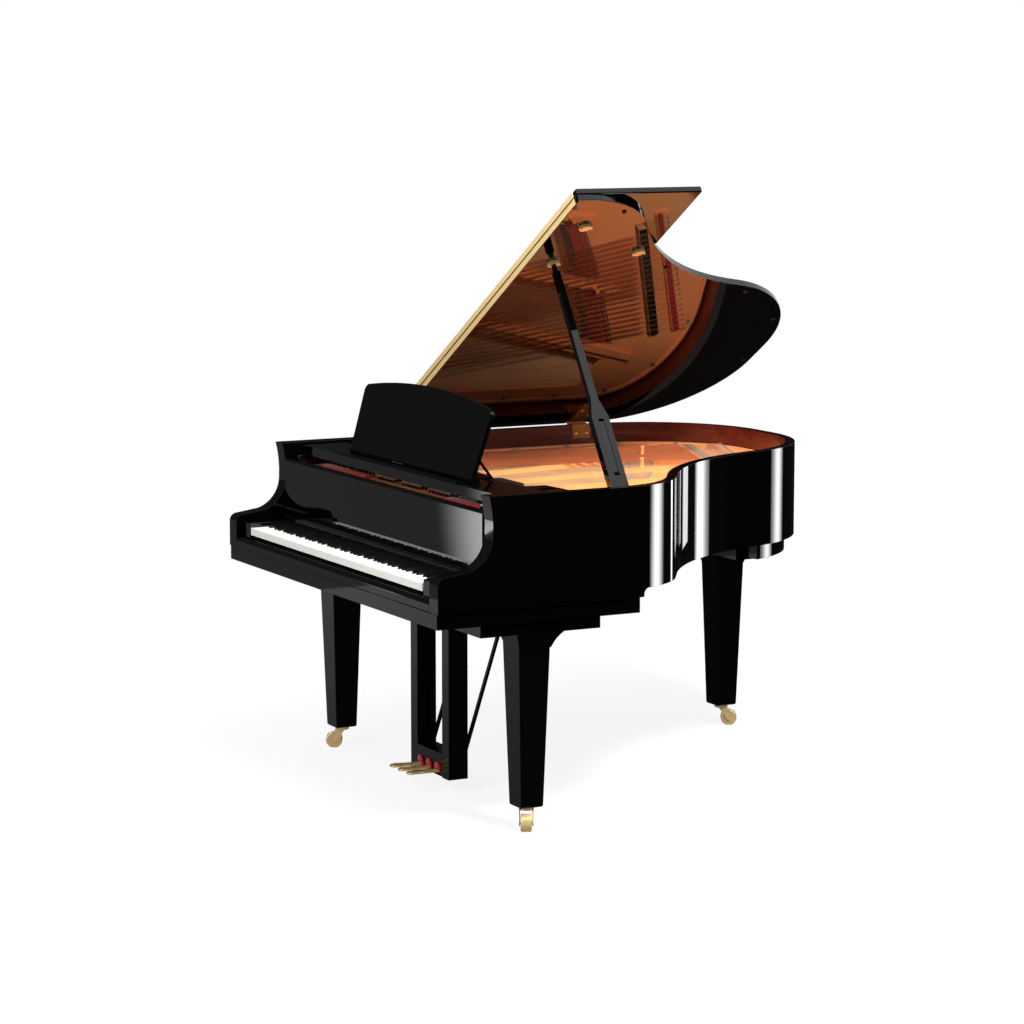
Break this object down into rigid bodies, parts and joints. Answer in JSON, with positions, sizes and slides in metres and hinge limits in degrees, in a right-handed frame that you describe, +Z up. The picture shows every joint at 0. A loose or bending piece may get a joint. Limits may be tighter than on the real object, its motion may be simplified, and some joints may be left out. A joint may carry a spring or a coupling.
{
  "type": "grand piano",
  "caption": "Black lacquered grand piano with its lid propped open, music desk raised, keyboard uncovered, pedal lyre and brass castors.",
  "frame": {"origin": "on the floor, under the middle of the whole part as it stands open", "axes": "+X to the treble side, +Y to the tail, +Z up"},
  "size_m": [1.5228, 1.7108, 1.8196],
  "materials": {
    "black_lacquer": "polished black lacquer on wood",
    "black_steel": "black painted steel",
    "rim_wood": "satin laminated hardwood",
    "spruce": "satin varnished spruce",
    "gold_iron": "gold painted cast iron",
    "steel": "bright steel",
    "copper": "copper wound steel",
    "brass": "polished brass",
    "felt": "felt on wood",
    "damper_black": "black painted wood on felt",
    "white_key": "white key cover on spruce",
    "black_key": "black key cover on spruce"
  },
  "bodies": {
    "case": {"outer_rim": "black_lacquer", "inner_rim": "rim_wood", "back_frame": "rim_wood", "soundboard": "spruce", "bridges": "rim_wood", "pin_block": "rim_wood", "cast_plate": "gold_iron", "plate_bolts": "steel", "plain_strings": "steel", "bass_strings": "copper", "key_bed": "black_lacquer", "key_slip": "black_lacquer", "key_blocks": "black_lacquer", "desk_rails": "black_lacquer", "spine_rim_leaves": "brass", "prop_bracket": "black_steel", "right_leg": "black_lacquer", "left_leg": "black_lacquer", "rear_leg": "black_lacquer", "leg_plates": "black_lacquer", "lyre_frame": "black_lacquer", "lyre_box": "black_lacquer", "lyre_braces": "black_steel"},
    "action": {"key_frame": "rim_wood", "action_rails": "steel", "hammers": "felt"},
    "white_keys": {"white_keys": "white_key"},
    "black_keys": {"black_keys": "black_key"},
    "dampers": {"dampers": "damper_black"},
    "fallboard": {"fallboard": "black_lacquer"},
    "desk_tray": {"desk_tray": "black_lacquer"},
    "music_desk": {"music_desk": "black_lacquer"},
    "desk_stay": {"desk_stay": "black_steel"},
    "lid": {"main_lid": "black_lacquer", "spine_lid_leaves": "brass", "long_hinge_main": "brass", "prop_cups": "brass"},
    "front_lid": {"front_lid": "black_lacquer", "long_hinge_front": "brass"},
    "long_prop": {"long_prop": "black_lacquer"},
    "short_prop": {"short_prop": "black_lacquer"},
    "key_c4": {"key_c4": "white_key"},
    "key_cs4": {"key_cs4": "black_key"},
    "key_d4": {"key_d4": "white_key"},
    "key_ds4": {"key_ds4": "black_key"},
    "key_e4": {"key_e4": "white_key"},
    "key_f4": {"key_f4": "white_key"},
    "key_fs4": {"key_fs4": "black_key"},
    "left_pedal": {"left_pedal": "brass"},
    "left_pedal_rod": {"left_pedal_rod": "black_steel"},
    "middle_pedal": {"middle_pedal": "brass"},
    "middle_pedal_rod": {"middle_pedal_rod": "black_steel"},
    "right_pedal": {"right_pedal": "brass"},
    "right_pedal_rod": {"right_pedal_rod": "black_steel"},
    "right_castor_fork": {"right_castor_fork": "brass"},
    "right_castor_wheel": {"right_castor_wheel": "brass"},
    "left_castor_fork": {"left_castor_fork": "brass"},
    "left_castor_wheel": {"left_castor_wheel": "brass"},
    "rear_castor_fork": {"rear_castor_fork": "brass"},
    "rear_castor_wheel": {"rear_castor_wheel": "brass"}
  },
  "joints": [
    {"name": "lid_hinge", "type": "hinge", "parent": "case", "child": "lid", "pos_m": [-0.73339, 0.04464, 0.989], "axis": [0, -1, 0], "range_deg": [0, 50]},
    {"name": "front_lid_hinge", "type": "hinge", "parent": "lid", "child": "front_lid", "pos_m": [-0.10804, -0.29936, 1.40325], "axis": [0.8493, 0, 0.5278], "range_deg": [0, 180]},
    {"name": "prop_fold", "type": "hinge", "parent": "case", "child": "long_prop", "pos_m": [0.69941, -0.24736, 0.966], "axis": [-0.08, -0.9968, 0], "range_deg": [0, 51.5]},
    {"name": "short_prop_swing", "type": "hinge", "parent": "long_prop", "child": "short_prop", "pos_m": [0.66712, -0.24476, 1.01675], "axis": [0.08, 0.9968, 0], "range_deg": [0, 100]},
    {"name": "fallboard_hinge", "type": "hinge", "parent": "case", "child": "fallboard", "pos_m": [0.01641, -0.67036, 0.772], "axis": [1, 0, 0], "range_deg": [0, 90]},
    {"name": "desk_slide", "type": "slide", "parent": "case", "child": "desk_tray", "axis": [0, 1, 0], "range_m": [-0.04, 0]},
    {"name": "desk_fold", "type": "hinge", "parent": "desk_tray", "child": "music_desk", "pos_m": [0.01641, -0.57236, 0.9845], "axis": [-1, 0, 0], "range_deg": [0, 69]},
    {"name": "desk_stay_fold", "type": "hinge", "parent": "desk_tray", "child": "desk_stay", "pos_m": [0.01641, -0.50236, 0.9845], "axis": [-1, 0, 0], "range_deg": [0, 123.5]},
    {"name": "action_shift", "type": "slide", "parent": "case", "child": "action", "axis": [1, 0, 0], "range_m": [0, 0.003]},
    {"name": "white_keys_press", "type": "hinge", "parent": "action", "child": "white_keys", "pos_m": [0.01641, -0.62036, 0.71185], "axis": [1, 0, 0], "range_deg": [0, 2.4], "stiffness_Nm_per_rad": 60, "springref_deg": -4.58},
    {"name": "black_keys_press", "type": "hinge", "parent": "action", "child": "black_keys", "pos_m": [0.01641, -0.62036, 0.71185], "axis": [1, 0, 0], "range_deg": [0, 2.4], "stiffness_Nm_per_rad": 45, "springref_deg": -4.58},
    {"name": "key_c4_press", "type": "hinge", "parent": "action", "child": "key_c4", "pos_m": [0.01641, -0.62036, 0.71185], "axis": [1, 0, 0], "range_deg": [0, 2.4], "stiffness_Nm_per_rad": 1.4, "springref_deg": -4.58},
    {"name": "key_cs4_press", "type": "hinge", "parent": "action", "child": "key_cs4", "pos_m": [0.01641, -0.62036, 0.71185], "axis": [1, 0, 0], "range_deg": [0, 2.4], "stiffness_Nm_per_rad": 1.4, "springref_deg": -4.58},
    {"name": "key_d4_press", "type": "hinge", "parent": "action", "child": "key_d4", "pos_m": [0.01641, -0.62036, 0.71185], "axis": [1, 0, 0], "range_deg": [0, 2.4], "stiffness_Nm_per_rad": 1.4, "springref_deg": -4.58},
    {"name": "key_ds4_press", "type": "hinge", "parent": "action", "child": "key_ds4", "pos_m": [0.01641, -0.62036, 0.71185], "axis": [1, 0, 0], "range_deg": [0, 2.4], "stiffness_Nm_per_rad": 1.4, "springref_deg": -4.58},
    {"name": "key_e4_press", "type": "hinge", "parent": "action", "child": "key_e4", "pos_m": [0.01641, -0.62036, 0.71185], "axis": [1, 0, 0], "range_deg": [0, 2.4], "stiffness_Nm_per_rad": 1.4, "springref_deg": -4.58},
    {"name": "key_f4_press", "type": "hinge", "parent": "action", "child": "key_f4", "pos_m": [0.01641, -0.62036, 0.71185], "axis": [1, 0, 0], "range_deg": [0, 2.4], "stiffness_Nm_per_rad": 1.4, "springref_deg": -4.58},
    {"name": "key_fs4_press", "type": "hinge", "parent": "action", "child": "key_fs4", "pos_m": [0.01641, -0.62036, 0.71185], "axis": [1, 0, 0], "range_deg": [0, 2.4], "stiffness_Nm_per_rad": 1.4, "springref_deg": -4.58},
    {"name": "left_pedal_press", "type": "hinge", "parent": "case", "child": "left_pedal", "pos_m": [-0.04159, -0.48536, 0.06], "axis": [1, 0, 0], "range_deg": [0, 5], "stiffness_Nm_per_rad": 40, "springref_deg": -8.59},
    {"name": "left_pedal_rod_lift", "type": "slide", "parent": "case", "child": "left_pedal_rod", "axis": [0, 0, 1], "range_m": [0, 0.0042]},
    {"name": "middle_pedal_press", "type": "hinge", "parent": "case", "child": "middle_pedal", "pos_m": [0.01641, -0.48536, 0.06], "axis": [1, 0, 0], "range_deg": [0, 5], "stiffness_Nm_per_rad": 40, "springref_deg": -8.59},
    {"name": "middle_pedal_rod_lift", "type": "slide", "parent": "case", "child": "middle_pedal_rod", "axis": [0, 0, 1], "range_m": [0, 0.0042]},
    {"name": "right_pedal_press", "type": "hinge", "parent": "case", "child": "right_pedal", "pos_m": [0.07441, -0.48536, 0.06], "axis": [1, 0, 0], "range_deg": [0, 5], "stiffness_Nm_per_rad": 40, "springref_deg": -8.59},
    {"name": "right_pedal_rod_lift", "type": "slide", "parent": "case", "child": "right_pedal_rod", "axis": [0, 0, 1], "range_m": [0, 0.0042]},
    {"name": "damper_lift", "type": "slide", "parent": "case", "child": "dampers", "axis": [0, 0, 1], "range_m": [0, 0.005]},
    {"name": "right_castor_swivel", "type": "hinge", "parent": "case", "child": "right_castor_fork", "pos_m": [0.65041, -0.52136, 0.065], "axis": [0, 0, 1], "continuous": true},
    {"name": "right_castor_roll", "type": "hinge", "parent": "right_castor_fork", "child": "right_castor_wheel", "pos_m": [0.67248, -0.53309, 0.026], "axis": [0.4695, 0.8829, 0], "continuous": true},
    {"name": "left_castor_swivel", "type": "hinge", "parent": "case", "child": "left_castor_fork", "pos_m": [-0.61759, -0.52136, 0.065], "axis": [0, 0, 1], "continuous": true},
    {"name": "left_castor_roll", "type": "hinge", "parent": "left_castor_fork", "child": "left_castor_wheel", "pos_m": [-0.62894, -0.54363, 0.026], "axis": [0.891, -0.454, 0], "continuous": true},
    {"name": "rear_castor_swivel", "type": "hinge", "parent": "case", "child": "rear_castor_fork", "pos_m": [-0.36257, 0.74286, 0.065], "axis": [0, 0, 1], "continuous": true},
    {"name": "rear_castor_roll", "type": "hinge", "parent": "rear_castor_fork", "child": "rear_castor_wheel", "pos_m": [-0.35107, 0.76505, 0.026], "axis": [-0.8878, 0.4602, 0], "continuous": true}
  ],
  "couplings": [
    {"joint": "left_pedal_press", "follows": "action_shift", "rad_per_m": 28.943},
    {"joint": "left_pedal_rod_lift", "follows": "action_shift", "ratio": 1.3603},
    {"joint": "middle_pedal_rod_lift", "follows": "middle_pedal_press", "m_per_rad": 0.047},
    {"joint": "right_pedal_rod_lift", "follows": "right_pedal_press", "m_per_rad": 0.047},
    {"joint": "damper_lift", "follows": "right_pedal_press", "m_per_rad": 0.056},
    {"joint": "desk_stay_fold", "follows": "desk_fold", "ratio": 1.788}
  ]
}
